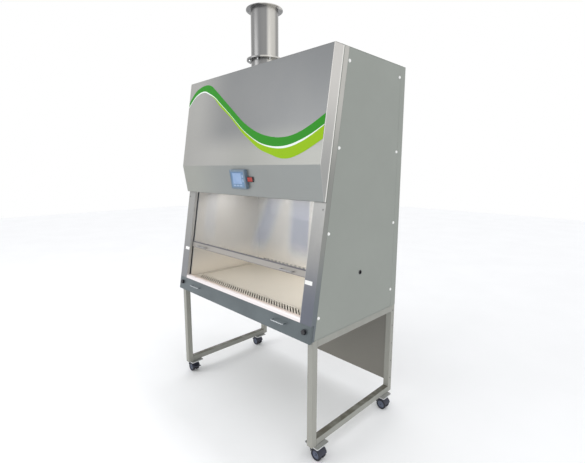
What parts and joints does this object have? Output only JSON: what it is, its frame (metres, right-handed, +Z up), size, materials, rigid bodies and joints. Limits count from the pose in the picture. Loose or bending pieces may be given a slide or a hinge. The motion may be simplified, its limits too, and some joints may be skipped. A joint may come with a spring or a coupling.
{
  "type": "ducted biosafety cabinet",
  "caption": "Biosafety cabinet with a sliding glass sash, hinged service cover, stainless work chamber and exhaust duct, on a castered stand.",
  "frame": {"origin": "on the floor, under the middle of the cabinet's bounding box", "axes": "+X along the front to the user's right, +Y to the wall behind, +Z up"},
  "size_m": [1.4664, 0.8844, 2.807],
  "materials": {
    "stand_paint": "fine-textured semi-matte coat",
    "panel_paint": "fine-textured semi-matte coat",
    "casing_paint": "fine-textured semi-matte coat",
    "cover_steel": "brushed",
    "front_steel": "brushed",
    "polished_steel": "polished",
    "liner_steel": "brushed",
    "zinc_sheet": "brushed",
    "duct_steel": "brushed",
    "filter_media": "pleated glass-fibre paper",
    "window_glass": "clear",
    "display_glass": "clear",
    "lamp_glass": "glossy",
    "black_plastic": "matte",
    "red_plastic": "glossy",
    "white_plastic": "glossy",
    "guide_plastic": "matte",
    "belt_rubber": "matte",
    "zinc_plate": "brushed",
    "idler_nylon": "matte",
    "cast_iron": "painted dark",
    "impeller_metal": "plain rolled",
    "caster_black": "matte",
    "tread_rubber": "matte"
  },
  "bodies": {
    "casing": {"stand_legs": "stand_paint", "stand_rails": "stand_paint", "stand_back_panel": "panel_paint", "caster_plates": "zinc_plate", "base_pan": "casing_paint", "rear_shell": "casing_paint", "top_panel": "casing_paint", "side_panel_left": "casing_paint", "side_panel_right": "casing_paint", "port_grommet": "black_plastic", "screw_caps": "white_plastic", "front_posts": "casing_paint", "sill": "front_steel", "sash_guides": "guide_plastic", "sash_belts": "belt_rubber", "pulley_brackets": "zinc_plate", "chamber_liner": "liner_steel", "drain_pan": "liner_steel", "rear_baffle": "liner_steel", "diffuser": "liner_steel", "plenum_bulkhead": "zinc_sheet", "supply_filter": "filter_media", "supply_plenum": "zinc_sheet", "blower_housing": "zinc_sheet", "blower_motor": "cast_iron", "exhaust_plenum": "zinc_sheet", "exhaust_filter": "filter_media", "exhaust_collar": "duct_steel", "exhaust_duct": "duct_steel", "duct_bolts": "polished_steel", "lamp_fittings": "zinc_sheet", "lamp_tubes": "lamp_glass", "hinge_brackets": "polished_steel"},
    "sash": {"sash_glass": "window_glass", "sash_rails": "polished_steel"},
    "shaft": {"sash_shaft": "zinc_plate"},
    "idlers": {"belt_idlers": "idler_nylon"},
    "weights": {"counterweights": "cast_iron"},
    "cover": {"front_cover": "cover_steel", "screen_housing": "black_plastic", "screen_glass": "display_glass", "switch_frame": "black_plastic"},
    "rocker": {"switch_rocker": "red_plastic"},
    "apron": {"apron_panel": "front_steel", "apron_handles": "polished_steel"},
    "knob_left": {"apron_knob_left": "black_plastic"},
    "knob_right": {"apron_knob_right": "black_plastic"},
    "tray": {"work_tray": "liner_steel"},
    "grille": {"front_grille": "liner_steel"},
    "impeller": {"blower_impeller": "impeller_metal"},
    "front_left_fork": {"caster_front_left_housing": "caster_black"},
    "front_left_wheels": {"caster_front_left_wheels": "tread_rubber"},
    "front_left_pedal": {"caster_front_left_brake": "caster_black"},
    "front_right_fork": {"caster_front_right_housing": "caster_black"},
    "front_right_wheels": {"caster_front_right_wheels": "tread_rubber"},
    "front_right_pedal": {"caster_front_right_brake": "caster_black"},
    "rear_left_fork": {"caster_rear_left_housing": "caster_black"},
    "rear_left_wheels": {"caster_rear_left_wheels": "tread_rubber"},
    "rear_right_fork": {"caster_rear_right_housing": "caster_black"},
    "rear_right_wheels": {"caster_rear_right_wheels": "tread_rubber"}
  },
  "joints": [
    {"name": "sash_slide", "type": "slide", "parent": "casing", "child": "sash", "axis": [0, 0.159, 0.9873], "range_m": [-0.212, 0.3]},
    {"name": "shaft_turn", "type": "hinge", "parent": "casing", "child": "shaft", "pos_m": [0, -0.13082, 2.223], "axis": [1, 0, 0], "continuous": true},
    {"name": "idlers_turn", "type": "hinge", "parent": "casing", "child": "idlers", "pos_m": [0, -0.33974, 0.926], "axis": [1, 0, 0], "continuous": true},
    {"name": "weights_slide", "type": "slide", "parent": "casing", "child": "weights", "axis": [0, 0.159, 0.9873], "range_m": [-0.3, 0.212]},
    {"name": "cover_hinge", "type": "hinge", "parent": "casing", "child": "cover", "pos_m": [0, -0.19878, 2.298], "axis": [-1, 0, 0], "range_deg": [0, 80]},
    {"name": "switch_rock", "type": "hinge", "parent": "cover", "child": "rocker", "pos_m": [0.114, -0.33955, 1.59218], "axis": [0, -0.1639, 0.9865], "range_deg": [-18, 0]},
    {"name": "apron_pull", "type": "slide", "parent": "casing", "child": "apron", "axis": [0, -0.9873, 0.159], "range_m": [0, 0.08]},
    {"name": "knob_left_turn", "type": "hinge", "parent": "apron", "child": "knob_left", "pos_m": [-0.655, -0.4114, 0.788], "axis": [0, -0.9873, 0.159], "continuous": true},
    {"name": "knob_right_turn", "type": "hinge", "parent": "apron", "child": "knob_right", "pos_m": [0.655, -0.4114, 0.788], "axis": [0, -0.9873, 0.159], "continuous": true},
    {"name": "tray_lift", "type": "slide", "parent": "casing", "child": "tray", "axis": [0, 0, 1], "range_m": [0, 0.1]},
    {"name": "grille_lift", "type": "slide", "parent": "casing", "child": "grille", "axis": [0, 0, 1], "range_m": [0, 0.08]},
    {"name": "impeller_spin", "type": "hinge", "parent": "casing", "child": "impeller", "pos_m": [0.28, 0.06222, 1.936], "axis": [1, 0, 0], "continuous": true},
    {"name": "front_left_swivel", "type": "hinge", "parent": "casing", "child": "front_left_fork", "pos_m": [-0.68, -0.32678, 0.035], "axis": [0, 0, 1], "continuous": true},
    {"name": "front_left_roll", "type": "hinge", "parent": "front_left_fork", "child": "front_left_wheels", "pos_m": [-0.694, -0.32678, 0.035], "axis": [0, 1, 0], "continuous": true},
    {"name": "front_left_brake", "type": "hinge", "parent": "front_left_fork", "child": "front_left_pedal", "pos_m": [-0.651, -0.32678, 0.051], "axis": [0, 1, 0], "range_deg": [0, 14]},
    {"name": "front_right_swivel", "type": "hinge", "parent": "casing", "child": "front_right_fork", "pos_m": [0.68, -0.32678, 0.035], "axis": [0, 0, 1], "continuous": true},
    {"name": "front_right_roll", "type": "hinge", "parent": "front_right_fork", "child": "front_right_wheels", "pos_m": [0.694, -0.32678, 0.035], "axis": [0, 1, 0], "continuous": true},
    {"name": "front_right_brake", "type": "hinge", "parent": "front_right_fork", "child": "front_right_pedal", "pos_m": [0.651, -0.32678, 0.051], "axis": [0, -1, 0], "range_deg": [0, 14]},
    {"name": "rear_left_swivel", "type": "hinge", "parent": "casing", "child": "rear_left_fork", "pos_m": [-0.68, 0.35222, 0.035], "axis": [0, 0, 1], "continuous": true},
    {"name": "rear_left_roll", "type": "hinge", "parent": "rear_left_fork", "child": "rear_left_wheels", "pos_m": [-0.694, 0.35222, 0.035], "axis": [0, 1, 0], "continuous": true},
    {"name": "rear_right_swivel", "type": "hinge", "parent": "casing", "child": "rear_right_fork", "pos_m": [0.68, 0.35222, 0.035], "axis": [0, 0, 1], "continuous": true},
    {"name": "rear_right_roll", "type": "hinge", "parent": "rear_right_fork", "child": "rear_right_wheels", "pos_m": [0.694, 0.35222, 0.035], "axis": [0, 1, 0], "continuous": true}
  ],
  "couplings": [
    {"joint": "shaft_turn", "follows": "sash_slide", "rad_per_m": -48.193},
    {"joint": "idlers_turn", "follows": "sash_slide", "rad_per_m": -48.193},
    {"joint": "weights_slide", "follows": "sash_slide", "ratio": -1}
  ]
}
